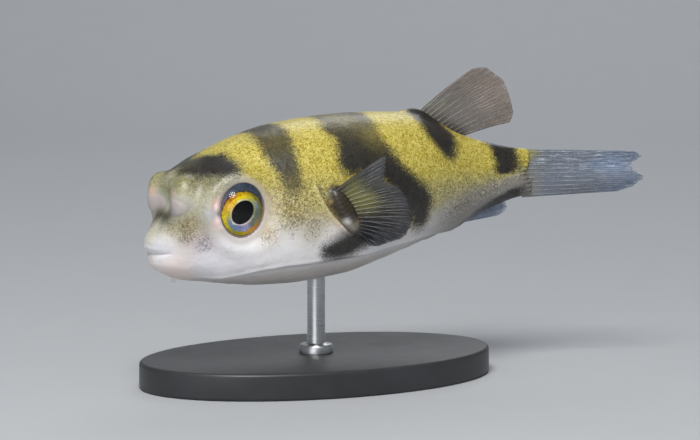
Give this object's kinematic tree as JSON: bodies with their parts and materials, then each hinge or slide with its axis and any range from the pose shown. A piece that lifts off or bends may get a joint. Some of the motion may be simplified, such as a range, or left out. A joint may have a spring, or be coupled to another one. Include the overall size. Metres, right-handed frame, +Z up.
{
  "type": "freshwater pufferfish, still model on a display stand",
  "caption": "Life-size small banded freshwater puffer with rounded body, short fins and a curved tail, held over a plain oval stand by one rod.",
  "frame": {"origin": "centre of the underside of the stand's base, on the floor", "axes": "+Z up, +X towards the fish's tail along the base's long axis, the fish's left side towards -Y"},
  "size_m": [0.0596, 0.027, 0.0343],
  "materials": {
    "banded_skin": "wet skin, lemon yellow with dark olive bars over a white belly",
    "pale_skin": "wet skin, pale pinkish white",
    "eye": "clear wet cornea over a gold iris and a black pupil",
    "fin": "thin translucent membrane over bony rays",
    "stand_paint": "satin dark grey",
    "stand_steel": "fine satin"
  },
  "bodies": {
    "root": {"head": "banded_skin", "trunk": "banded_skin", "tail_stalk": "banded_skin", "upper_lip": "pale_skin", "lower_lip": "pale_skin", "nasal_lobe_left": "pale_skin", "nasal_lobe_right": "pale_skin", "eye_left": "eye", "eye_right": "eye", "pectoral_base_left": "banded_skin", "pectoral_base_right": "banded_skin", "pectoral_fin_left": "fin", "pectoral_fin_right": "fin", "dorsal_fin": "fin", "anal_fin": "fin", "caudal_fin": "fin", "stand_base": "stand_paint", "stand_rod": "stand_steel"}
  },
  "joints": []
}
